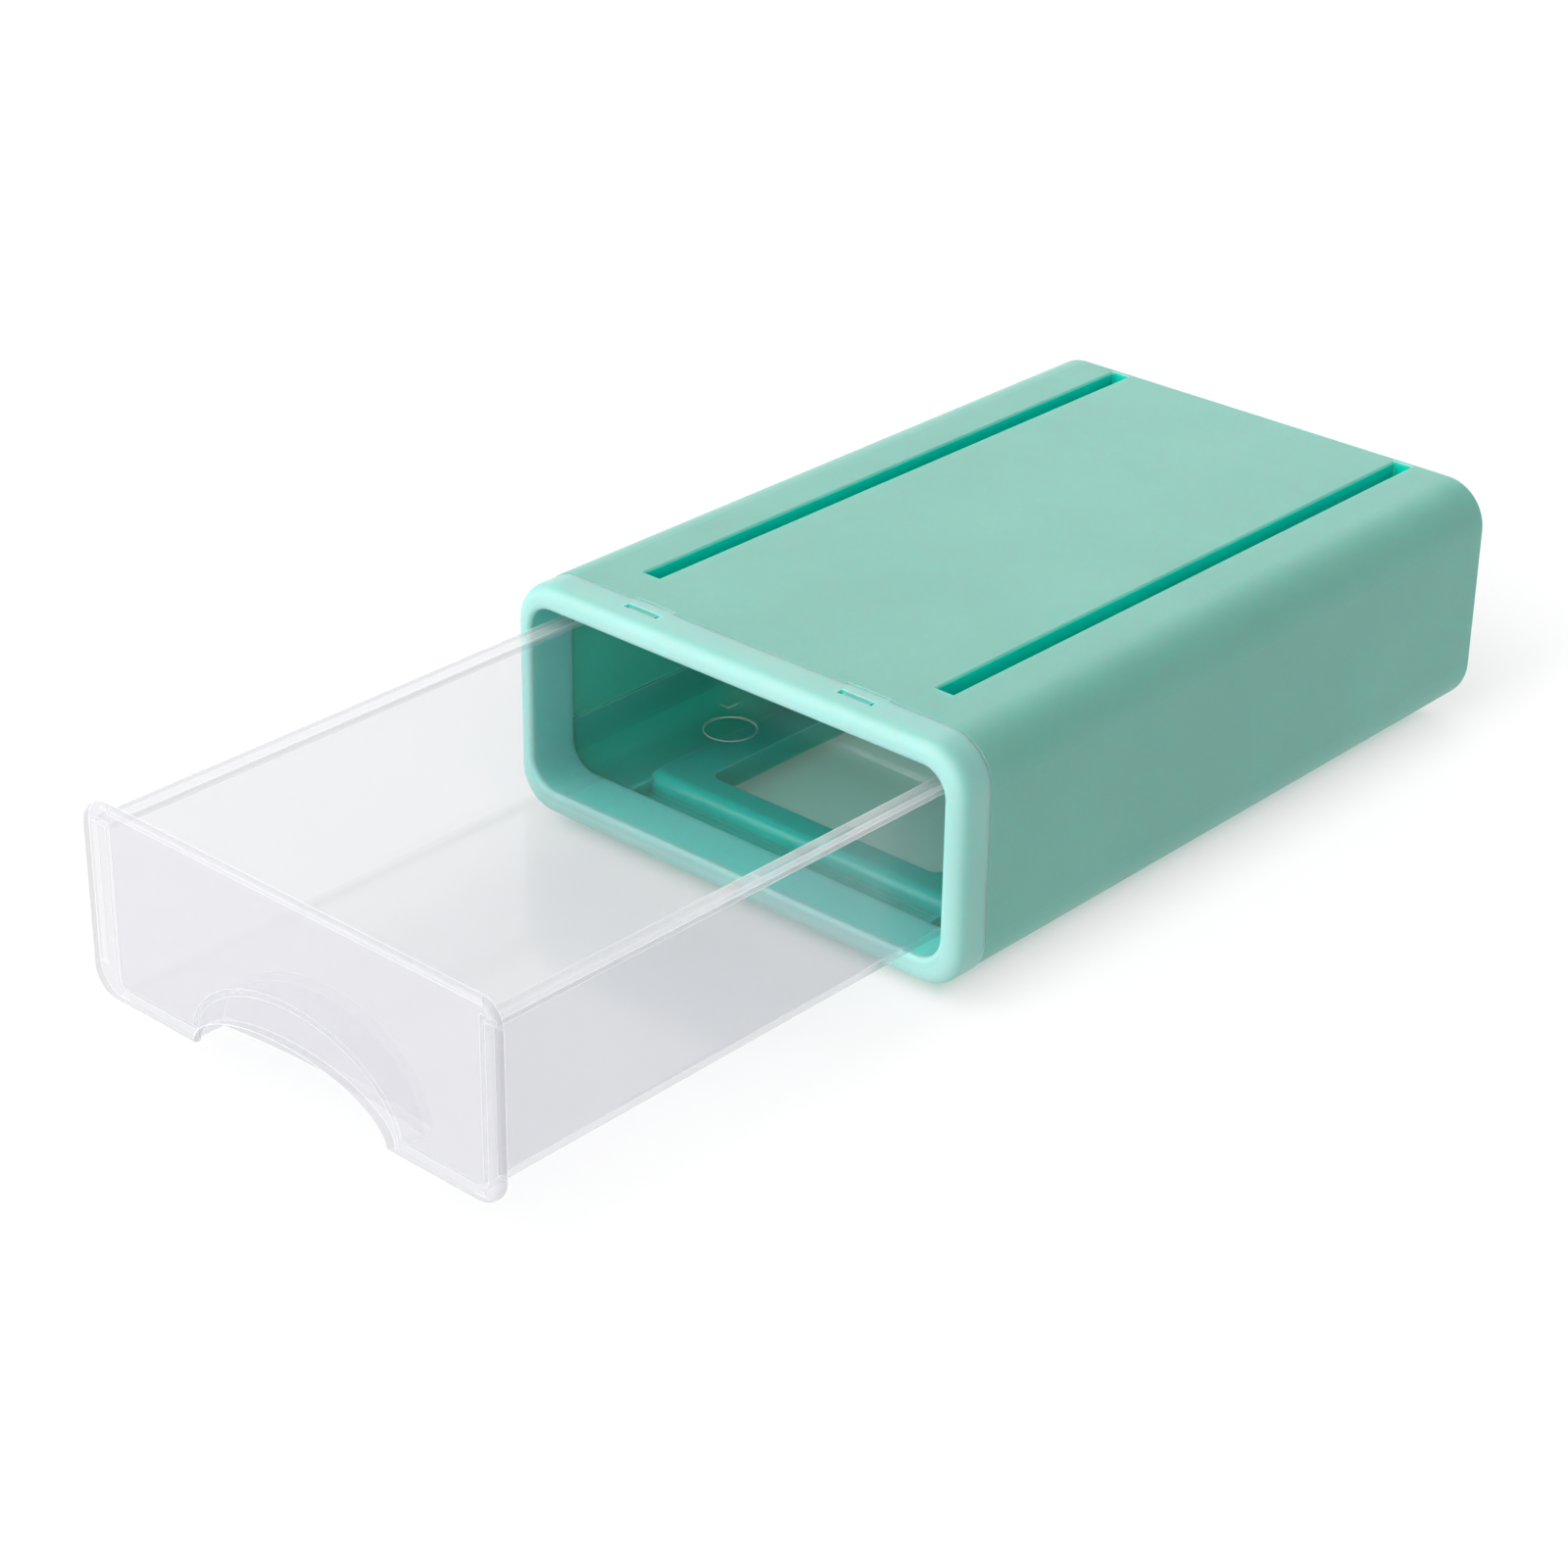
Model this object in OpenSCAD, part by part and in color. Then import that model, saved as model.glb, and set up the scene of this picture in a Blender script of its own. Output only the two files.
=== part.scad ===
/* [Case] */
// Outer width of the case, side to side
case_w = 180; // [150:1:260]
// Outer height of the case body, without the rails under it
case_h = 79; // [70:1:140]
// Depth of the moulded sleeve behind the front frame
sleeve_d = 254; // [180:1:340]
// Thickness of the case walls and floor
case_wall = 2.5; // [1.8:0.1:3.5]
// Radius of the two upper long edges of the case
case_r_top = 15; // [9:0.5:20]
// Radius of the two lower long edges of the case
case_r_low = 15.5; // [9:0.5:20]
// Rounding of the outer edge round the rear wall
rear_edge_r = 1.2; // [0.5:0.1:2]
// Rounding of the sleeve's front edge, where it meets the frame
seam_r = 0.5; // [0.3:0.1:1]
// Length of the low ledge on each inner side wall
ledge_len = 90; // [30:1:120]
// Height of the ledge above the underside of the case
ledge_z = 22.5; // [18:0.5:40]
// How far the ledge stands out of the wall
ledge_out = 1; // [0.4:0.1:2]

/* [Stacking] */
// How far the middle of each groove lies inside the edge of the raised floor
groove_in = 3.4; // [3.2:0.1:8]
// Width of each groove
groove_w = 6.6; // [4:0.1:10]
// Depth of each groove
groove_depth = 5.5; // [3:0.1:7]
// Distance from the front edge of the sleeve to the groove
groove_front = 15.5; // [8:0.5:40]
// Skin left round the groove inside the case
groove_skin = 2; // [1.2:0.1:3]
// Softened upper edge of the groove
groove_edge = 0.7; // [0.3:0.1:1.2]
// Gap between a rail and each side of the groove that takes it
rail_gap = 0.5; // [0.2:0.05:1]
// Gap between the foot of a rail and the floor of the groove
rail_foot_gap = 0.5; // [0.2:0.05:1]

/* [Raised floor] */
// Width of the low channel between the raised floor and each side wall
channel_w = 25.5; // [20:0.1:30]
// Gap between the sleeve's front edge and the raised floor
deck_front = 18; // [12:0.5:30]
// Radius of the front edge of the raised floor
deck_edge_r = 4.5; // [1:0.5:5]
// How far the raised floor lies below the sill
deck_drop = 0.5; // [0.2:0.1:1.5]
// Thickness of the raised floor
deck_skin = 2; // [1.5:0.1:3]
// Land left on each side of the window in the raised floor
window_side = 15; // [11:0.5:24]
// Land left in front of and behind the window
window_land = 12; // [8:0.5:30]
// Corner radius of the window
window_r = 4; // [1:0.5:10]
// Height of the rim around the window, under the raised floor
rim_wall = 2; // [1.5:0.1:3]
// Thickness of the low webs that run from the raised floor to the frame
web_t = 1.5; // [1:0.1:3]

/* [Front frame] */
// Depth of the frame in front of the sleeve
frame_d = 13; // [10:0.5:18]
// How far the frame's outside lies within the sleeve's, all round
frame_shy = 0.2; // [0.1:0.1:0.6]
// Radius of the upper corners of the frame
frame_r_top = 15; // [9:0.5:20]
// Radius of the lower corners of the frame
frame_r_low = 14; // [9:0.5:20]
// Width of the frame's bars at the sides of the mouth
frame_side = 7; // [4.5:0.1:12]
// Height of the frame's bar over the mouth
frame_top = 7.7; // [6.5:0.1:12]
// Height of the sill above the underside of the case
sill_h = 9; // [7:0.1:14]
// Radius of the upper corners of the mouth
mouth_r_top = 8.5; // [6:0.5:14]
// Radius of the lower corners of the mouth
mouth_r_low = 9.5; // [6:0.5:14]
// Radius of the rounded outer front edge of the frame
nose_r = 5; // [2:0.1:5.4]
// Radius of the inner front edge of the frame
lip_r = 1.5; // [0.5:0.1:1.6]
// Depth of the collar that plugs into the sleeve
collar_d = 5.3; // [3:0.1:9]
// Gap between the collar and the inside of the sleeve
collar_gap = 0.2; // [0.1:0.05:0.4]

/* [Snap catches] */
// Distance of each catch from the middle
catch_x = 42.7; // [25:0.1:60]
// Width of the window in the frame for each catch
catch_w = 13.4; // [8:0.1:18]
// Length of that window, front to back
catch_l = 2.6; // [1.5:0.1:3]
// Distance from the sleeve's front edge to the middle of the window
catch_back = 4.5; // [4:0.1:6]
// Width of the hook that shows in the window
hook_w = 10.2; // [6:0.1:16]
// How far the hook lies under the top of the frame
hook_sink = 0.4; // [0.2:0.1:1]
// Thickness of the tongue that carries the hook
tongue_t = 2; // [1.2:0.1:2.4]
// Gap around the hook, its tongue and the tab
catch_gap = 0.15; // [0.1:0.05:0.4]
// Width of the tab that the frame has behind each catch
tab_w = 16; // [13:0.1:20]
// How far that tab reaches back into the sleeve's roof
tab_l = 1; // [0.5:0.1:2]

/* [Drawer] */
// Gap between the closed drawer's rim and the rear wall of the case
rear_gap = 4.1; // [2:0.1:30]
// Thickness of the front panel
panel_t = 3; // [2.4:0.1:5]
// Rounding of the panel's front edge
panel_edge_r = 2; // [0.5:0.1:2.2]
// Gap around the panel in the mouth
panel_gap = 0.5; // [0.3:0.05:1.5]
// How far the closed panel lies behind the frame's face
panel_sink = 0.6; // [0:0.1:3]
// Gap between the drawer's rim and each side of the mouth
rim_gap = 3.3; // [1:0.1:10]
// Thickness of the side and rear walls
tub_wall = 1.8; // [1.2:0.1:3]
// Thickness of the drawer's floor
tub_floor = 1.8; // [1.2:0.1:3]
// Radius of the lower edges of the tub
tub_r_low = 6.5; // [4:0.5:10]
// Radius of the two rear corners of the tub
tub_r_rear = 9; // [5:0.5:16]
// How far the rim lies below the top of the panel
rim_drop = 6.3; // [3:0.1:20]
// Width of the rim beyond the walls
rim_w = 4.3; // [2:0.1:6]
// Thickness of the rim
rim_t = 1.8; // [1.2:0.1:3]
// Diameter of the shallow round recess in each rear corner of the drawer's floor
recess_d = 17.5; // [8:0.5:19]
// Depth of that recess
recess_h = 0.4; // [0.2:0.1:0.6]
// Distance from the tub's outside to the middle of the recess
recess_in = 13.6; // [13:0.1:30]
// How far the drawer stands open at rest
open_travel = 174; // [60:1:220]

/* [Finger pull] */
// Width of the arched cut-out in the panel
arch_w = 79; // [50:1:100]
// Height of the arched cut-out
arch_h = 16; // [10:0.1:20]
// How much wider the hood's inside is than the cut-out, on each side
hood_side = 1.5; // [0.5:0.1:6]
// How much higher the hood's inside is than the cut-out
hood_rise = 9.5; // [2:0.1:16]
// Depth of the hood behind the panel's face, at its middle
hood_d = 17; // [12:0.5:24]
// How far the hood's rear wall bulges back from its sides to its middle
hood_bulge = 2.8; // [1:0.1:5]
// Thickness of the hood
hood_wall = 2; // [1.2:0.1:3]

/* [Hidden] */
$fn = 64;
eps = 0.01;
over = 1;
arch_steps = 28;
lip_steps = 4;

rail_h = groove_depth - rail_foot_gap;
rail_w = groove_w - 2 * rail_gap;
case_z = rail_h;
case_top = case_z + case_h;
frame_low = case_z + frame_shy;
frame_high = case_top - frame_shy;
sleeve_end = frame_d + sleeve_d;
bay_end = sleeve_end - case_wall;
bay_low = case_z + case_wall;
bay_top = case_top - case_wall;
sill_z = case_z + sill_h;
mouth_w = case_w - 2 * frame_side;
mouth_top = case_top - frame_top;
mouth_h = mouth_top - sill_z;
collar_end = frame_d + collar_d;
groove_y = frame_d + groove_front;
deck_y = frame_d + deck_front;
deck_z = sill_z - deck_drop;
window_y = deck_y + window_land;
window_end = bay_end - window_land;
deck_w = case_w - 2 * (case_wall + channel_w);
window_w = deck_w - 2 * window_side;
groove_x = deck_w / 2 - groove_in;

panel_w = mouth_w - 2 * panel_gap;
panel_low = sill_z;
panel_top = mouth_top - panel_gap;
rim_z = panel_top - rim_drop;
tub_w = mouth_w - 2 * (rim_gap + rim_w);
tub_end = bay_end - rear_gap - rim_w;
panel_back = panel_sink + panel_t;
hood_in_w = arch_w + 2 * hood_side;
hood_in_h = arch_h + hood_rise;

catch_y = frame_d - catch_back;
tongue_top = bay_top;
tongue_low = tongue_top - tongue_t;
tongue_y = catch_y - catch_l / 2;
tongue_end = collar_end + collar_d;

front_y = min(0, panel_sink - open_travel);
mid_y = (front_y + sleeve_end) / 2;

mint = [0.62, 0.83, 0.78];
mint_deep = [0.55, 0.79, 0.73];
clear_tone = [0.9, 0.91, 0.94, 0.5];

// Turns a shape drawn flat, with its height along Y, so that its height runs up and its thickness back.
module stand_up() {
    mirror([0, 1, 0])
        rotate([90, 0, 0])
            children();
}

// A flat rounded rectangle from height low to height high, with its own radii below and above.
module rounded_outline(w, low, high, r_low, r_high) {
    mid = (low + high) / 2;
    translate([-w / 2 + r_low, low]) square([w - 2 * r_low, mid - low]);
    translate([-w / 2 + r_high, mid]) square([w - 2 * r_high, high - mid]);
    translate([-w / 2, low + r_low]) square([w, high - r_high - low - r_low]);
    for (side = [-1, 1]) {
        translate([side * (w / 2 - r_low), low + r_low]) circle(r_low);
        translate([side * (w / 2 - r_high), high - r_high]) circle(r_high);
    }
}

// A rounded bar of the outline above, from depth y0 to depth y1.
module rounded_bar(w, low, high, r_low, r_high, y0, y1) {
    stand_up()
        translate([0, 0, y0])
            linear_extrude(y1 - y0)
                rounded_outline(w, low, high, r_low, r_high);
}

// The section of a plate's edge: x runs out to the edge, y runs back from the rounded face.
module edge_section(reach, nose, depth) {
    translate([0, nose]) square([reach, depth - nose]);
    square([reach - nose, nose + eps]);
    translate([reach - nose, nose]) circle(nose);
}

// A straight run of that section, standing along the height.
module edge_run(reach, nose, depth, length) {
    translate([0, length, 0])
        rotate([90, 0, 0])
            linear_extrude(length)
                edge_section(reach, nose, depth);
}

// A quarter turn of that section.
module edge_turn(reach, nose, depth) {
    rotate_extrude(angle = 90)
        intersection() {
            edge_section(reach, nose, depth);
            square([reach + over, depth]);
        }
}

// A plate with a rounded outline and a rounded front edge, face at y0.
module nosed_plate(w, low, high, r_low, r_high, nose, y0, depth) {
    straight = high - r_high - low - r_low;
    stand_up()
        translate([0, 0, y0]) {
            for (side = [0, 1])
                mirror([side, 0, 0]) {
                    translate([w / 2 - r_high, high - r_high, 0]) edge_turn(r_high, nose, depth);
                    translate([w / 2 - r_low, low + r_low, 0])
                        mirror([0, 1, 0])
                            edge_turn(r_low, nose, depth);
                    translate([w / 2 - min(r_low, r_high), low + r_low, 0])
                        edge_run(min(r_low, r_high), nose, depth, straight);
                }
            translate([-w / 2 + r_high, high - min(r_low, r_high), 0])
                rotate([0, 0, 90])
                    mirror([0, 1, 0])
                        edge_run(min(r_low, r_high), nose, depth, w - 2 * r_high);
            translate([-w / 2 + r_low, low + min(r_low, r_high), 0])
                mirror([0, 1, 0])
                    rotate([0, 0, 90])
                        mirror([0, 1, 0])
                            edge_run(min(r_low, r_high), nose, depth, w - 2 * r_low);
            translate([-w / 2 + min(r_low, r_high), low + min(r_low, r_high), 0])
                cube([w - 2 * min(r_low, r_high), high - low - 2 * min(r_low, r_high), depth]);
        }
}

// Points of the rounded inner lip, from its face to the mouth's wall.
function lip_points(r) = [
    for (i = [0 : lip_steps])
        let (a = 90 * i / lip_steps)
            [r - r * sin(a), r - r * cos(a)]
];

// The section that the inner lip's rounding takes away, x out from the mouth's wall.
module lip_section(at) {
    translate([at, 0])
        polygon(concat([[-over, lip_r], [-over, -over], [lip_r, -over]], lip_points(lip_r)));
}

// Rounding of the mouth's front edge, all round.
module mouth_rounding() {
    stand_up()
        for (side = [0, 1])
            mirror([side, 0, 0]) {
                translate([mouth_w / 2 - mouth_r_top, mouth_top - mouth_r_top, 0])
                    rotate_extrude(angle = 90)
                        lip_section(mouth_r_top);
                translate([mouth_w / 2 - mouth_r_low, sill_z + mouth_r_low, 0])
                    mirror([0, 1, 0])
                        rotate_extrude(angle = 90)
                            lip_section(mouth_r_low);
                translate([mouth_w / 2, mouth_top - mouth_r_top, 0])
                    rotate([90, 0, 0])
                        linear_extrude(mouth_h - mouth_r_top - mouth_r_low)
                            lip_section(0);
                translate([0, mouth_top, 0])
                    rotate([90, 0, 90])
                        linear_extrude(mouth_w / 2 - mouth_r_top)
                            lip_section(0);
                translate([0, sill_z, 0])
                    mirror([0, 1, 0])
                        rotate([90, 0, 90])
                            linear_extrude(mouth_w / 2 - mouth_r_low)
                                lip_section(0);
            }
}

// The solid outside of the sleeve, with its rounded front and rear edges.
module sleeve_body() {
    edge_depth = 2 * rear_edge_r;
    nosed_plate(case_w, case_z, case_top, case_r_low, case_r_top, seam_r, frame_d, 2 * seam_r + eps);
    rounded_bar(case_w, case_z, case_top, case_r_low, case_r_top,
                frame_d + 2 * seam_r, sleeve_end - edge_depth);
    translate([0, sleeve_end, 0])
        mirror([0, 1, 0])
            nosed_plate(case_w, case_z, case_top, case_r_low, case_r_top,
                        rear_edge_r, 0, edge_depth + eps);
}

// Both sides of the case alike.
module both_sides() {
    for (side = [0, 1])
        mirror([side, 0, 0])
            children();
}

// The trough that carries one groove under the roof.
module groove_trough() {
    translate([groove_x - groove_w / 2 - groove_skin, groove_y - groove_skin,
               case_top - groove_depth - groove_skin])
        cube([groove_w + 2 * groove_skin, bay_end - groove_y + groove_skin + over,
              groove_depth + groove_skin - case_wall / 2]);
}

// The groove itself, with softened upper edges.
module groove_cut() {
    stand_up()
        translate([groove_x, case_top, groove_y])
            linear_extrude(bay_end - groove_y)
                polygon([
                    [-groove_w / 2, -groove_depth],
                    [groove_w / 2, -groove_depth],
                    [groove_w / 2, -groove_edge],
                    [groove_w / 2 + groove_edge / 3, -groove_edge / 3],
                    [groove_w / 2 + groove_edge, 0],
                    [groove_w / 2 + groove_edge, over],
                    [-groove_w / 2 - groove_edge, over],
                    [-groove_w / 2 - groove_edge, 0],
                    [-groove_w / 2 - groove_edge / 3, -groove_edge / 3],
                    [-groove_w / 2, -groove_edge]
                ]);
}

// One rail under the case, which fits the groove of the case below.
module rail() {
    translate([groove_x - rail_w / 2, groove_y + rail_gap, 0])
        cube([rail_w, bay_end - groove_y - 2 * rail_gap, case_z + case_wall / 2]);
}

// The raised floor, still solid.
module deck_block() {
    translate([-deck_w / 2, 0, 0])
        rotate([90, 0, 90])
            linear_extrude(deck_w) {
                translate([deck_y + deck_edge_r, case_z + case_wall / 2])
                    square([bay_end + over - deck_y - deck_edge_r, deck_z - case_z - case_wall / 2]);
                translate([deck_y, case_z + case_wall / 2])
                    square([deck_edge_r + eps, deck_z - case_z - case_wall / 2 - deck_edge_r]);
                translate([deck_y + deck_edge_r, deck_z - deck_edge_r])
                    circle(deck_edge_r);
            }
}

// A low web from the raised floor towards the frame.
module deck_web() {
    translate([deck_w / 2 - web_t, collar_end + collar_gap, bay_low - eps])
        cube([web_t, deck_y + deck_edge_r - collar_end - collar_gap, deck_z - bay_low - web_t]);
}

// The window through the raised floor, grown on every side by grow.
module window_block(grow, low, high) {
    translate([0, 0, low])
        linear_extrude(high - low)
            rounded_outline(window_w + 2 * grow, window_y - grow, window_end + grow,
                            window_r + grow, window_r + grow);
}

// The hollow under the raised floor, around the rim of the window.
module deck_hollow() {
    difference() {
        translate([-(groove_x - rail_w / 2), deck_y + deck_skin, case_z - over])
            cube([2 * groove_x - rail_w, bay_end - deck_y - 2 * deck_skin,
                  deck_z - case_z - deck_skin + over]);
        window_block(rim_wall, case_z - 2 * over, deck_z);
    }
}

// The low ledge along the inside of one side wall.
module wall_ledge() {
    r = case_r_low - case_wall;
    low = case_z + case_r_low - sqrt(2 * r * ledge_out - ledge_out * ledge_out) - over;
    translate([case_w / 2 - case_wall - ledge_out, collar_end + collar_gap, low])
        cube([ledge_out + over / 2, ledge_len, case_z + ledge_z - low]);
}

// The tongue and hook on the sleeve that hold the frame.
module hook() {
    translate([catch_x - hook_w / 2, tongue_y, tongue_low])
        cube([hook_w, tongue_end - tongue_y, tongue_t + eps]);
    translate([catch_x - hook_w / 2, tongue_y + catch_gap, tongue_low])
        cube([hook_w, catch_l - 2 * catch_gap, frame_high - hook_sink - tongue_low]);
}

// The frame's tab behind each catch, grown by a gap for its notch in the sleeve and run on up by rise.
module tab(gap, rise) {
    translate([catch_x - tab_w / 2 - gap, frame_d - over, bay_top + catch_gap - gap])
        cube([tab_w + 2 * gap, tab_l + over + gap, case_top - bay_top - catch_gap + gap + rise]);
}

// Room for the tongue inside the frame, and the window over the hook.
module catch_cut() {
    translate([catch_x - catch_w / 2, tongue_y - catch_gap, tongue_low - catch_gap])
        cube([catch_w, collar_end - tongue_y + catch_gap + over, tongue_t + 2 * catch_gap]);
    translate([catch_x - catch_w / 2, catch_y - catch_l / 2, tongue_low])
        cube([catch_w, catch_l, case_top - tongue_low + over]);
}

// The sleeve: roof, walls, floor, rear wall, grooves, rails and raised floor.
module casing() {
    color(mint)
        translate([0, -mid_y, 0])
            difference() {
                union() {
                    difference() {
                        sleeve_body();
                        rounded_bar(case_w - 2 * case_wall, bay_low, bay_top,
                                    case_r_low - case_wall, case_r_top - case_wall,
                                    frame_d - over, bay_end);
                    }
                    deck_block();
                    both_sides() {
                        groove_trough();
                        rail();
                        deck_web();
                        wall_ledge();
                        hook();
                    }
                }
                both_sides() {
                    groove_cut();
                    tab(catch_gap, over);
                }
                window_block(0, case_z - over, sill_z + over);
                deck_hollow();
            }
}

// The clip-on frame with the mouth and the collar that plugs into the sleeve.
module front_frame() {
    color(mint_deep)
        translate([0, -mid_y, 0])
            difference() {
                union() {
                    nosed_plate(case_w - 2 * frame_shy, frame_low, frame_high, frame_r_low, frame_r_top,
                                nose_r, 0, frame_d);
                    rounded_bar(case_w - 2 * (case_wall + collar_gap), bay_low + collar_gap,
                                bay_top - collar_gap, case_r_low - case_wall - collar_gap,
                                case_r_top - case_wall - collar_gap, frame_d - over, collar_end);
                    both_sides() tab(0, -frame_shy);
                }
                rounded_bar(mouth_w, sill_z, mouth_top, mouth_r_low, mouth_r_top,
                            -over, collar_end + over);
                mouth_rounding();
                both_sides() catch_cut();
            }
}

// The solid outside of the tub, or its inside, shrunk by t.
module tub_body(t, low, high, y0) {
    w = tub_w - 2 * t;
    r = tub_r_low - t;
    rr = tub_r_rear - t;
    y1 = tub_end - t;
    intersection() {
        rounded_bar(w, low, high + 2 * r, r, r, y0, y1);
        translate([0, 0, low - over])
            linear_extrude(high - low + over)
                rounded_outline(w, y0 - 2 * rr, y1, rr, rr);
        translate([-w / 2 - over, 0, 0])
            rotate([90, 0, 90])
                linear_extrude(w + 2 * over) {
                    translate([y0, low]) square([y1 - r - y0, high - low]);
                    translate([y1 - 2 * r, low + r]) square([2 * r, high - low - r]);
                    translate([y1 - r, low + r]) circle(r);
                }
    }
}

// The rim around the top of the tub.
module tub_rim() {
    translate([0, 0, rim_z - rim_t])
        linear_extrude(rim_t)
            intersection() {
                rounded_outline(tub_w + 2 * rim_w, panel_back - 3 * tub_r_rear, tub_end + rim_w,
                                tub_r_rear + rim_w, tub_r_rear + rim_w);
                translate([-tub_w, panel_back - panel_t / 2]) square([2 * tub_w, 2 * tub_end]);
            }
}

// The shallow round recess in one rear corner of the drawer's floor.
module floor_recess() {
    translate([tub_w / 2 - recess_in, tub_end - recess_in, panel_low + tub_floor - recess_h])
        cylinder(h = recess_h + over, d = recess_d);
}

// An arch of the given width and height, standing on the drawer's underside.
module arch(w, h, y0, y1, foot) {
    stand_up()
        translate([0, panel_low, y0])
            linear_extrude(y1 - y0)
                polygon(concat(
                    [[w / 2, -foot], [w / 2, 0]],
                    [for (i = [1 : arch_steps - 1])
                        [w / 2 * cos(180 * i / arch_steps), h * sin(180 * i / arch_steps)]],
                    [[-w / 2, 0], [-w / 2, -foot]]
                ));
}

// The finger pull's hood, shrunk by t, with a rear wall that bulges in plan.
module hood(t, y0, foot) {
    w = hood_in_w + 2 * (hood_wall - t);
    y1 = panel_sink + hood_d - t;
    bulge_r = (w * w / 4 + hood_bulge * hood_bulge) / (2 * hood_bulge);
    intersection() {
        arch(w, hood_in_h + hood_wall - t, y0, y1, foot);
        translate([0, y1 - bulge_r, panel_low - foot - over])
            cylinder(h = panel_top - panel_low + foot + over, r = bulge_r, $fn = 256);
    }
}

// The drawer, one clear moulding: panel, tub, rim and finger pull.
module drawer() {
    color(clear_tone)
        translate([0, -open_travel - mid_y, 0])
            difference() {
                union() {
                    nosed_plate(panel_w, panel_low, panel_top, mouth_r_low - panel_gap,
                                mouth_r_top - panel_gap, panel_edge_r, panel_sink, panel_t);
                    difference() {
                        union() {
                            tub_body(0, panel_low, rim_z, panel_back - panel_t / 2);
                            tub_rim();
                        }
                        tub_body(tub_wall, panel_low + tub_floor, rim_z + over, panel_back);
                    }
                    hood(0, panel_back - panel_t / 2, 0);
                }
                both_sides() floor_recess();
                hood(hood_wall, panel_back, over);
                arch(arch_w, arch_h, panel_sink - over, panel_back + over, over);
            }
}

casing();
front_frame();
drawer();
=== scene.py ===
import math

import bpy
from mathutils import Matrix, Vector

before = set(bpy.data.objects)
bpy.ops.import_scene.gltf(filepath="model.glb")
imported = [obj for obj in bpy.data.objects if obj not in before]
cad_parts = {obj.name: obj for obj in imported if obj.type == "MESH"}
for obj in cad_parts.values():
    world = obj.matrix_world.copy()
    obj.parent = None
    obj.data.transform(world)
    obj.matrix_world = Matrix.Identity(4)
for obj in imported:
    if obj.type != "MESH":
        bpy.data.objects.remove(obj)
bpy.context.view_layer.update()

# Lengths are in metres and colours are linear, unless a name or a comment says otherwise.
MM = 0.001
WHITE = (1.0, 1.0, 1.0, 1.0)

# The camera: where it stands (mm, in the frame of the part), its angles (degrees) and its lens.
CAMERA_AT_MM = (660.6, -760.7, 550.7)
CAMERA_AZIMUTH = 41.77
CAMERA_ELEVATION = 27.52
CAMERA_ROLL = 0.82
FOCAL_PIXELS = 3767.0
IMAGE_PIXELS = 1600.0
SENSOR_MM = 36.0
CLIP_START = 0.01
CLIP_END = 50.0

# The white surround: its strength, and how that grows with each axis of the direction.
SURROUND = 0.70
SURROUND_TILT = (-0.10, -0.05, 0.0)

# Soft lights: name, the direction that each one stands in, power, apparent size in degrees.
LIGHTS = (
    ("light_key", (-0.50, -0.45, 0.74), 1.45, 44.0),
    ("light_front", (0.00, -0.95, 0.30), 3.4, 80.0),
    ("light_side", (0.75, -0.25, 0.60), 0.40, 80.0),
    ("light_back", (-0.60, 0.66, 0.46), 0.85, 60.0),
)

# The floor is pale paper with a glow of its own. Under the case it is painted green and given a
# painted glow, for the light that reaches it through the plastic, and right of the case it glows
# so much that it shows almost no shadow.
FLOOR_HALF = 6.0
FLOOR_CORNERS = ((-1, -1), (1, -1), (1, 1), (-1, 1))
FLOOR_OPEN = (0.280, 0.280, 0.280, 1.0)
FLOOR_UNDER_PAINTED_LIGHT = (0.260, 0.640, 0.550, 1.0)
FLOOR_UNDER_PAINTED_GLOW = (0.190, 0.290, 0.240, 1.0)
FLOOR_RIGHT = (0.060, 0.060, 0.060, 1.0)
FLOOR_RIGHT_GLOW = (1.600, 1.600, 1.600, 1.0)
FLOOR_SOCKETS = {
    "Emission Strength": 0.58,
    "Roughness": 0.9,
    "Specular IOR Level": 0.2,
}
# Where the right part of the floor begins, and how far from the case's middle the open part does.
# Each pair gives the place where the change starts and the one where it is full.
FLOOR_RIGHT_X = (0.078, 0.110)
FLOOR_OPEN_X = (0.066, 0.082)
FLOOR_OPEN_Y = (0.112, 0.132)
CASE_MID_Y = 0.0867

# The mint plastic has a skin colour, and a deeper, brighter green painted on the faces inside as
# the light that has come through the wall. The frame's front has a third, paler colour, a painted
# light for the light that falls on it from the front.
SLEEVE_SKIN = (0.122, 0.322, 0.270)
SLEEVE_PAINTED_INSIDE_LIGHT = (0.000, 0.450, 0.370)
SLEEVE_ROUGHNESS = (0.40, 0.50)
SLEEVE_GRAIN = 0.35
FRAME_SKIN = (0.195, 0.410, 0.365)
FRAME_PAINTED_FRONT_LIGHT = (0.275, 0.470, 0.442)
FRAME_PAINTED_INSIDE_LIGHT = (0.150, 0.575, 0.515)
FRAME_ROUGHNESS = (0.36, 0.44)
FRAME_GRAIN = 0.15
INSIDE_POLISH = 0.20
MINT_SOCKETS = {
    "IOR": 1.38,
    "Subsurface Weight": 1.0,
    "Subsurface Radius": (0.0003, 0.0058, 0.0052),
    "Subsurface Scale": 1.0,
}

# The case's rounded outline, seen from the front: half its width and height, its middle and its
# corner radius.
CASE_HALF = (0.090, 0.0395)
CASE_MID_Z = 0.0445
CASE_ROUND = 0.015
# Depths from that outline, negative inward, between which the skin turns into the painted inside
# light: one pair for the case behind the frame's nose, and one for the nose.
SKIN_DEPTH = (-0.0003, -0.0010)
NOSE_DEPTH = (-0.0052, -0.0066)
# Along the case: where the first pair takes over from the nose's, where the outside of the rear
# wall gives way to what is inside, and where the frame's front begins.
SKIN_Y = (-0.0430, -0.0400)
REAR_Y = (0.2195, 0.2180)
FACE_Y = (-0.0432, -0.0462)
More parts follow.
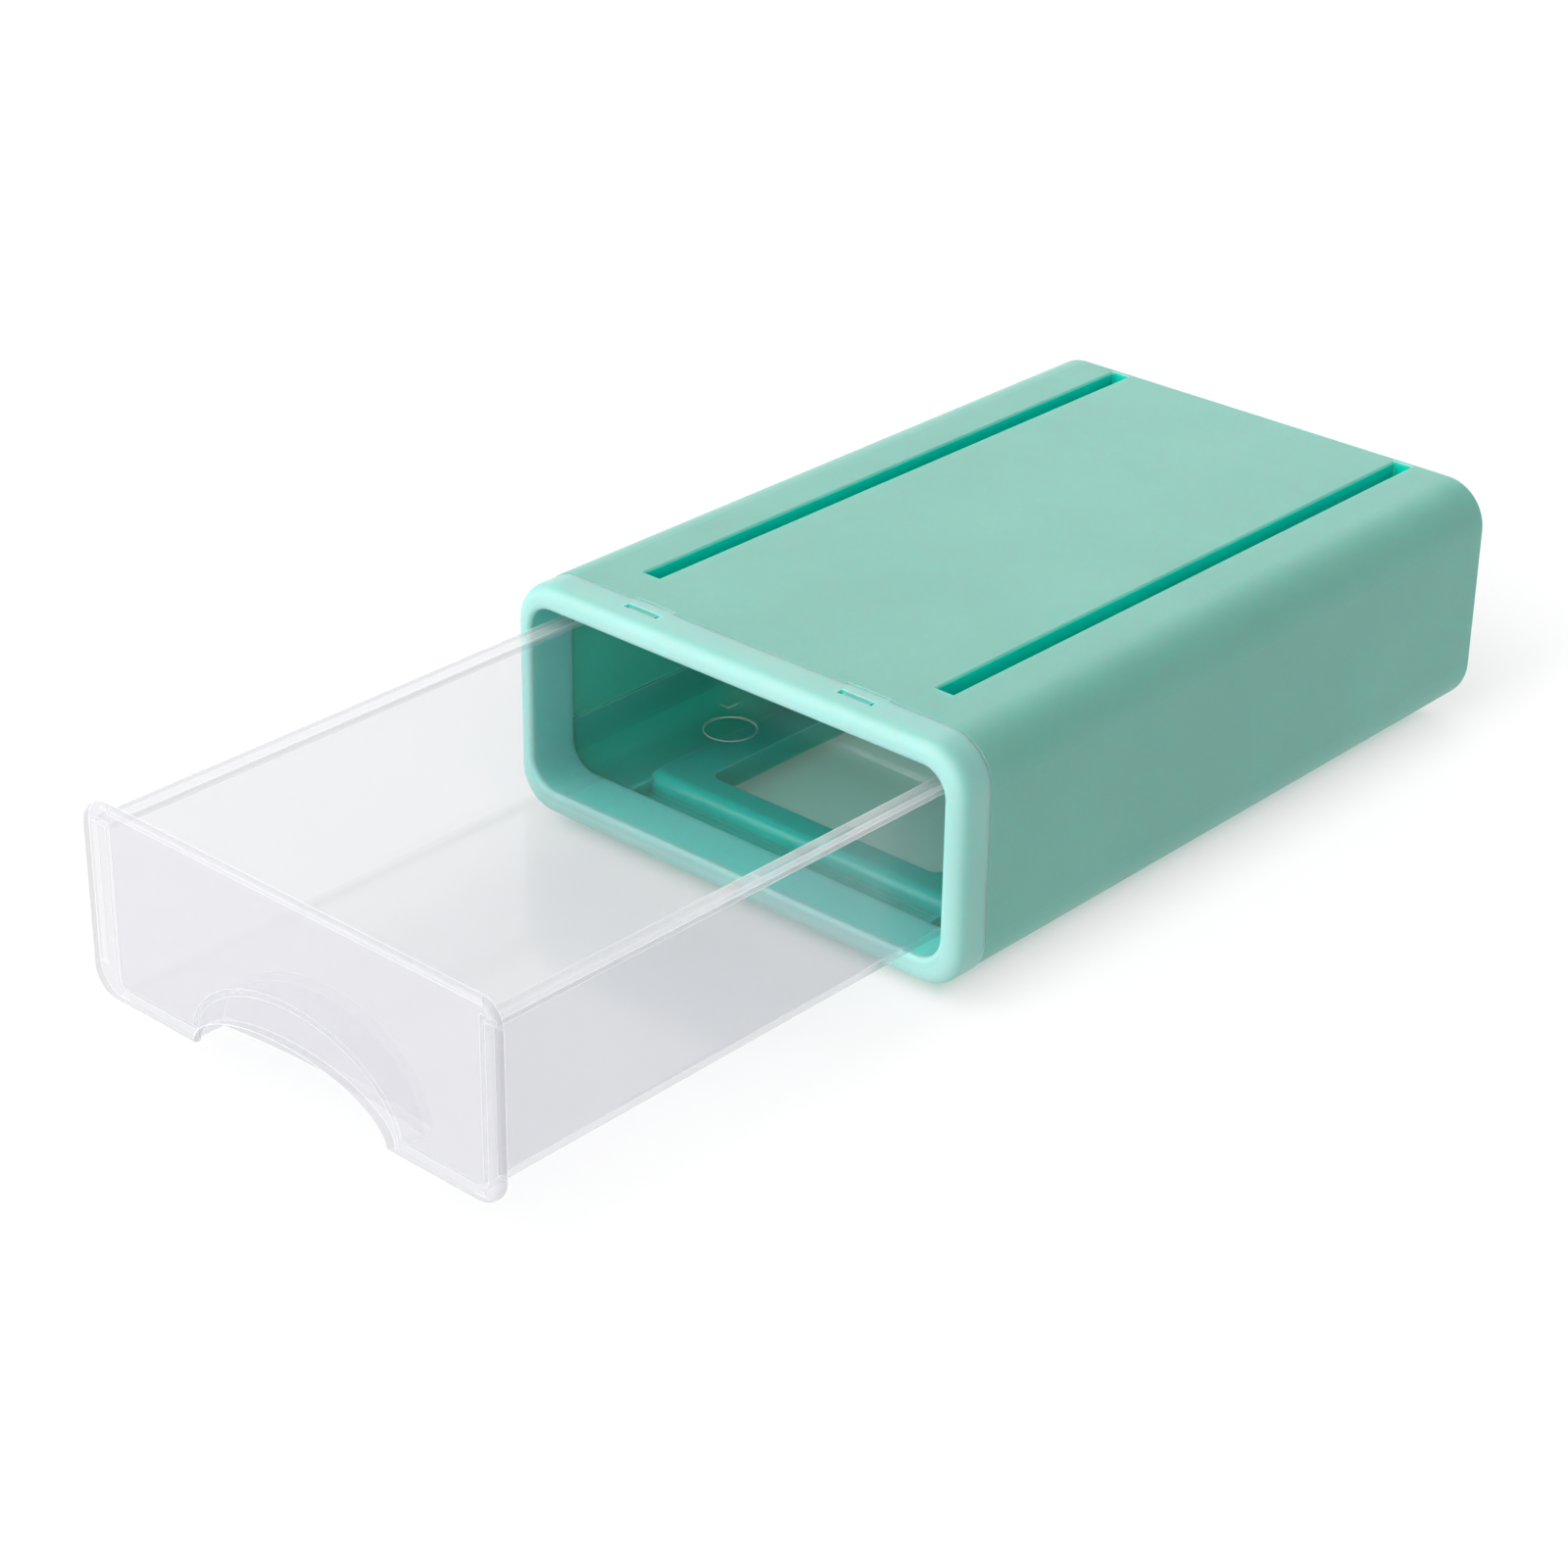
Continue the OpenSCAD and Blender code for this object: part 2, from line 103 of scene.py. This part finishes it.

# The clear plastic: its walls, its floor, painted darker for the shade on the ground under the
# drawer, and its milkier front panel and rim, with the places where each of them starts and where
# it is full.
CLEAR = (0.862, 0.862, 0.880, 1.0)
CLEAR_LIGHT = (0.874, 0.874, 0.891, 1.0)
CLEAR_FLOOR_PAINTED_SHADE = (0.775, 0.782, 0.795, 1.0)
CLEAR_FLOOR_Z = (0.0172, 0.0162)
PANEL = (0.640, 0.638, 0.658, 1.0)
PANEL_Y = (-0.2165, -0.2171)
PANEL_HAZE = 0.27
RIM = (0.720, 0.725, 0.735, 1.0)
RIM_Z = (0.0670, 0.0676)
RIM_HAZE = 0.20
CLEAR_ROUGHNESS = (0.05, 0.12)
CLEAR_SOCKETS = {
    "IOR": 1.015,
    "Coat Weight": 0.3,
    "Coat IOR": 1.5,
    "Coat Roughness": 0.12,
}
# The share of light that it transmits, by how far a face turns away from the viewer, and the
# tint of the shadow and diffuse rays that pass straight through it.
CLEAR_TRANSMISSION = (
    (0.0, (0.98, 0.98, 0.98, 1.0)),
    (0.7, (0.97, 0.97, 0.97, 1.0)),
    (1.0, (0.86, 0.86, 0.86, 1.0)),
)
CLEAR_PASS = (0.940, 0.940, 0.950, 1.0)

# Sharp edges get a painted highlight: a lighter colour, and on the clear plastic also more haze.
# The turn is the cosine between a face and its rounded edge, where the edge starts and where it
# is full.
EDGE_TURN = (0.985, 0.82)
EDGE_SAMPLES = 6
MINT_EDGE_HIGHLIGHT = (0.330, 0.700, 0.620, 1.0)
MINT_EDGE_HIGHLIGHT_SHARE = 0.55
MINT_EDGE_RADIUS = 0.0008
CLEAR_EDGE_HIGHLIGHT = (0.900, 0.920, 0.930, 1.0)
CLEAR_EDGE_HAZE = 0.45
CLEAR_EDGE_RADIUS = 0.0007

# Noise patterns (scale, detail, roughness) and bumps (strength, height).
CLOUDING = 0.04
CLOUD_ENDS = (0.3, 0.7)
MINT_CLOUDS = (18.0, 3.0, 0.55)
MINT_GLOSS = (140.0, 4.0, 0.6)
MINT_FLOW = (25.0, 2.0, 0.5)
MINT_FLOW_BUMP = (0.12, 0.0006)
MINT_GRAIN = (1900.0, 2.0, 0.5)
MINT_GRAIN_HEIGHT = 0.00004
CLEAR_CLOUDS = (22.0, 3.0, 0.6)
CLEAR_GLOSS = (60.0, 4.0, 0.65)
CLEAR_FLOW = (14.0, 1.0, 0.5)
CLEAR_FLOW_BUMP = (0.05, 0.0003)


class Nodes:
    """A node tree, with short calls that add its nodes and feed them."""

    def __init__(self, tree):
        self.tree = tree

    def node(self, kind, sockets=None, **settings):
        """Adds a node with these settings, and feeds its sockets, given by name or place."""
        made = self.tree.nodes.new(kind)
        for key, value in settings.items():
            setattr(made, key, value)
        for key, source in (sockets or {}).items():
            self.feed(source, made.inputs[key])
        return made

    def feed(self, source, target):
        """Links a socket to the target, or sets the target to a plain value."""
        if isinstance(source, bpy.types.NodeSocket):
            self.tree.links.new(source, target)
        else:
            target.default_value = source

    def number(self, operation, *values):
        """The result of a Math node."""
        sockets = dict(enumerate(values))
        return self.node("ShaderNodeMath", sockets, operation=operation).outputs["Value"]

    def vector(self, operation, *values):
        """The result of a Vector Math node, which is a number for a length or a dot product."""
        made = self.node("ShaderNodeVectorMath", dict(enumerate(values)), operation=operation)
        return made.outputs["Value" if operation in ("LENGTH", "DOT_PRODUCT") else "Vector"]


class Shader(Nodes):
    """A material with a Principled shader. Its patterns follow the object's own coordinates."""

    def __init__(self, name, sockets):
        self.material = bpy.data.materials.new(name)
        self.material.use_nodes = True
        super().__init__(self.material.node_tree)
        self.main = self.tree.nodes["Principled BSDF"]
        for socket, value in sockets.items():
            self.main.inputs[socket].default_value = value
        self.place = self.node("ShaderNodeTexCoord").outputs["Object"]
        axes = self.node("ShaderNodeSeparateXYZ", {"Vector": self.place})
        self.x, self.y, self.z = axes.outputs

    def noise(self, scale, detail, roughness):
        """A noise pattern from 0 to 1."""
        made = self.node("ShaderNodeTexNoise", {
            "Vector": self.place, "Scale": scale, "Detail": detail, "Roughness": roughness})
        return made.outputs["Fac"]

    def ramp(self, source, stops):
        """A colour ramp through these stops, each a position and a colour, in order."""
        made = self.node("ShaderNodeValToRGB", {"Fac": source})
        entries = made.color_ramp.elements
        entries[0].position, entries[0].color = stops[0]
        entries[1].position, entries[1].color = stops[-1]
        for position, colour in stops[1:-1]:
            entries.new(position).color = colour
        return made.outputs["Color"]

    def spread(self, source, low, high):
        """Stretches 0 to 1 to low to high."""
        made = self.node("ShaderNodeMapRange", {"Value": source, "To Min": low, "To Max": high})
        return made.outputs["Result"]

    def between(self, source, low, high):
        """0 at low, 1 at high, smooth between."""
        sockets = {"Value": source, "From Min": low, "From Max": high}
        made = self.node("ShaderNodeMapRange", sockets, interpolation_type="SMOOTHSTEP")
        return made.outputs["Result"]

    def blend(self, share, first, second):
        """The first colour where the share is 0, the second where it is 1."""
        sockets = {"Factor": share, "A": first, "B": second}
        return self.node("ShaderNodeMix", sockets, data_type="RGBA").outputs["Result"]

    def bump(self, source, strength, height, onto=None):
        """A bumped normal, on top of another one where that is given."""
        sockets = {"Height": source, "Strength": strength, "Distance": height}
        if onto is not None:
            sockets["Normal"] = onto
        return self.node("ShaderNodeBump", sockets).outputs["Normal"]

    def edges(self, radius):
        """1 on sharp edges, 0 on faces and wide roundings."""
        rounded = self.node("ShaderNodeBevel", {"Radius": radius}, samples=EDGE_SAMPLES)
        plain = self.node("ShaderNodeNewGeometry").outputs["Normal"]
        turn = self.vector("DOT_PRODUCT", rounded.outputs["Normal"], plain)
        return self.between(turn, *EDGE_TURN)

    def deeper(self, reach, depths):
        """1 under the case's outline, 0 on it; the change lies between these depths."""
        return self.between(reach, *[CASE_ROUND + depth for depth in depths])

    def within_walls(self):
        """1 on the faces inside the case's outer skin, 0 on the skin itself."""
        corner = (CASE_HALF[0] - CASE_ROUND, 0.0, CASE_HALF[1] - CASE_ROUND)
        middle = self.vector("SUBTRACT", self.place, (0.0, 0.0, CASE_MID_Z))
        flat = self.vector("MULTIPLY", self.vector("ABSOLUTE", middle), (1.0, 0.0, 1.0))
        past = self.vector("SUBTRACT", flat, corner)
        reach = self.vector("LENGTH", self.vector("MAXIMUM", past, (0.0, 0.0, 0.0)))
        behind = self.between(self.y, *SKIN_Y)
        under_skin = self.number("MULTIPLY", self.deeper(reach, SKIN_DEPTH), behind)
        within = self.number("MAXIMUM", under_skin, self.deeper(reach, NOSE_DEPTH))
        return self.number("MULTIPLY", within, self.between(self.y, *REAR_Y))


def place_camera():
    """Puts the camera where the photograph was taken from."""
    angles = (CAMERA_AZIMUTH, CAMERA_ELEVATION, CAMERA_ROLL)
    azimuth, elevation, roll = (math.radians(angle) for angle in angles)
    ahead = Vector((
        -math.sin(azimuth) * math.cos(elevation),
        math.cos(azimuth) * math.cos(elevation),
        -math.sin(elevation),
    ))
    level = Vector((math.cos(azimuth), math.sin(azimuth), 0.0))
    above = level.cross(ahead)
    right = level * math.cos(roll) + above * math.sin(roll)
    up = above * math.cos(roll) - level * math.sin(roll)
    data = bpy.data.cameras.new("camera")
    data.sensor_fit = "HORIZONTAL"
    data.sensor_width = SENSOR_MM
    data.lens = FOCAL_PIXELS / IMAGE_PIXELS * SENSOR_MM
    data.clip_start = CLIP_START
    data.clip_end = CLIP_END
    camera = bpy.data.objects.new("camera", data)
    turn = Matrix((right, up, -ahead)).transposed().to_4x4()
    camera.matrix_world = Matrix.Translation(Vector(CAMERA_AT_MM) * MM) @ turn
    bpy.context.scene.collection.objects.link(camera)
    bpy.context.scene.camera = camera


def soft_light(name, toward, power, size):
    """A wide, even studio light that stands in this direction."""
    data = bpy.data.lights.new(name, "SUN")
    data.energy = power
    data.angle = math.radians(size)
    light = bpy.data.objects.new(name, data)
    light.rotation_euler = Vector(toward).to_track_quat("Z", "Y").to_euler()
    bpy.context.scene.collection.objects.link(light)


def light_studio():
    """A white surround, a little brighter at the front and left, and the soft lights."""
    scene = bpy.context.scene
    scene.view_settings.view_transform = "Standard"
    scene.view_settings.look = "None"
    scene.world = bpy.data.worlds.new("studio")
    scene.world.use_nodes = True
    nodes = Nodes(scene.world.node_tree)
    background = nodes.tree.nodes["Background"]
    background.inputs["Color"].default_value = WHITE
    direction = nodes.node("ShaderNodeTexCoord").outputs["Generated"]
    tilt = nodes.vector("DOT_PRODUCT", direction, SURROUND_TILT)
    nodes.feed(nodes.number("ADD", tilt, SURROUND), background.inputs["Strength"])
    for light in LIGHTS:
        soft_light(*light)


def floor_paper():
    """Pale paper with a glow of its own, painted green light under the case, brighter on its
    right.
    """
    shader = Shader("floor_paper", FLOOR_SOCKETS)
    along = shader.number("SUBTRACT", shader.y, CASE_MID_Y)
    open_x = shader.between(shader.number("ABSOLUTE", shader.x), *FLOOR_OPEN_X)
    open_y = shader.between(shader.number("ABSOLUTE", along), *FLOOR_OPEN_Y)
    is_open = shader.number("MAXIMUM", open_x, open_y)
    right = shader.between(shader.x, *FLOOR_RIGHT_X)
    # Under the case: a painted green light and a painted glow, for the light through the plastic.
    for socket, under, outside, beside in (
            ("Base Color", FLOOR_UNDER_PAINTED_LIGHT, FLOOR_OPEN, FLOOR_RIGHT),
            ("Emission Color", FLOOR_UNDER_PAINTED_GLOW, WHITE, FLOOR_RIGHT_GLOW)):
        colour = shader.blend(right, shader.ramp(is_open, [(0.0, under), (1.0, outside)]), beside)
        shader.feed(colour, shader.main.inputs[socket])
    return shader.material


def lay_floor():
    """The pale floor that the box stands on."""
    mesh = bpy.data.meshes.new("floor")
    corners = [(x * FLOOR_HALF, y * FLOOR_HALF, 0.0) for x, y in FLOOR_CORNERS]
    mesh.from_pydata(corners, [], [(0, 1, 2, 3)])
    floor = bpy.data.objects.new("floor", mesh)
    bpy.context.scene.collection.objects.link(floor)
    mesh.materials.append(floor_paper())


def clouded(shader, clouds, colour):
    """A colour that drifts a little lighter and darker with the clouds."""
    stops = []
    for position, factor in zip(CLOUD_ENDS, (1.0 - CLOUDING, 1.0 + CLOUDING)):
        stops.append((position, tuple(channel * factor for channel in colour) + (1.0,)))
    return shader.ramp(clouds, stops)


def mint_plastic(name, skin, painted_inside_light, painted_front_light, roughness, grain):
    """Moulded polypropylene: a colour slightly clouded, with painted light on the faces inside
    and on the frame's front and painted highlights on sharp edges, a fine grain and a soft gloss.
    """
    shader = Shader(name, MINT_SOCKETS)
    main = shader.main
    clouds = shader.noise(*MINT_CLOUDS)
    skin, painted_inside_light, painted_front_light = (clouded(shader, clouds, colour) for colour in (skin, painted_inside_light, painted_front_light))
    # The faces inside get painted light: a deeper, brighter green for the light through the
    # walls.
    inside = shader.within_walls()
    # The frame's front gets painted light: a paler colour for the light that falls on it from the
    # front.
    front = shader.between(shader.y, *FACE_Y)
    plain = shader.blend(front, shader.blend(inside, skin, painted_inside_light), painted_front_light)
    # Sharp edges get a painted highlight in a lighter mint.
    edge = shader.number("MULTIPLY", shader.edges(MINT_EDGE_RADIUS), MINT_EDGE_HIGHLIGHT_SHARE)
    shader.feed(shader.blend(edge, plain, MINT_EDGE_HIGHLIGHT), main.inputs["Base Color"])
    gloss = shader.spread(shader.noise(*MINT_GLOSS), *roughness)
    polish = shader.number("MULTIPLY", inside, INSIDE_POLISH)
    shader.feed(shader.number("SUBTRACT", gloss, polish), main.inputs["Roughness"])
    flow = shader.bump(shader.noise(*MINT_FLOW), *MINT_FLOW_BUMP)
    fine = shader.bump(shader.noise(*MINT_GRAIN), grain, MINT_GRAIN_HEIGHT, flow)
    shader.feed(fine, main.inputs["Normal"])
    return shader.material


def clear_plastic():
    """Clear, slightly milky moulded plastic. Shadow and diffuse rays pass straight through it."""
    shader = Shader("clear_plastic", CLEAR_SOCKETS)
    main = shader.main
    # The floor is painted darker, standing in for the shade on the ground beneath it.
    low = shader.between(shader.z, *CLEAR_FLOOR_Z)
    rim = shader.between(shader.z, *RIM_Z)
    panel = shader.between(shader.y, *PANEL_Y)
    # Sharp edges get a painted highlight: a lighter colour and more haze.
    edge = shader.edges(CLEAR_EDGE_RADIUS)

    colour = shader.ramp(shader.noise(*CLEAR_CLOUDS), list(zip(CLOUD_ENDS, (CLEAR, CLEAR_LIGHT))))
    for share, tint in ((low, CLEAR_FLOOR_PAINTED_SHADE), (rim, RIM), (panel, PANEL), (edge, CLEAR_EDGE_HIGHLIGHT)):
        colour = shader.blend(share, colour, tint)
    shader.feed(colour, main.inputs["Base Color"])

    facing = shader.node("ShaderNodeLayerWeight").outputs["Facing"]
    clear = shader.ramp(facing, CLEAR_TRANSMISSION)
    panel_haze = shader.number("MULTIPLY", panel, PANEL_HAZE)
    rim_haze = shader.number("MULTIPLY", rim, RIM_HAZE)
    edge_haze = shader.number("MULTIPLY", edge, CLEAR_EDGE_HAZE)
    haze = shader.number("MAXIMUM", shader.number("MAXIMUM", panel_haze, rim_haze), edge_haze)
    shader.feed(shader.number("SUBTRACT", clear, haze), main.inputs["Transmission Weight"])

    gloss = shader.spread(shader.noise(*CLEAR_GLOSS), *CLEAR_ROUGHNESS)
    shader.feed(gloss, main.inputs["Roughness"])
    flow = shader.bump(shader.noise(*CLEAR_FLOW), *CLEAR_FLOW_BUMP)
    shader.feed(flow, main.inputs["Coat Normal"])

    ray = shader.node("ShaderNodeLightPath").outputs
    either = shader.number("MAXIMUM", ray["Is Shadow Ray"], ray["Is Diffuse Ray"])
    passing = shader.node("ShaderNodeBsdfTransparent", {"Color": CLEAR_PASS})
    mix = shader.node("ShaderNodeMixShader", {
        0: either, 1: main.outputs["BSDF"], 2: passing.outputs["BSDF"]})
    surface = shader.tree.nodes["Material Output"].inputs["Surface"]
    shader.feed(mix.outputs["Shader"], surface)
    return shader.material


def dress(node, material):
    """Gives a CAD node its finish."""
    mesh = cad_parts[node].data
    mesh.materials.clear()
    mesh.materials.append(material)


place_camera()
light_studio()
lay_floor()
dress("casing", mint_plastic(
    "case_plastic", SLEEVE_SKIN, SLEEVE_PAINTED_INSIDE_LIGHT, SLEEVE_SKIN, SLEEVE_ROUGHNESS, SLEEVE_GRAIN))
dress("front_frame", mint_plastic(
    "frame_plastic", FRAME_SKIN, FRAME_PAINTED_INSIDE_LIGHT, FRAME_PAINTED_FRONT_LIGHT, FRAME_ROUGHNESS, FRAME_GRAIN))
dress("drawer", clear_plastic())
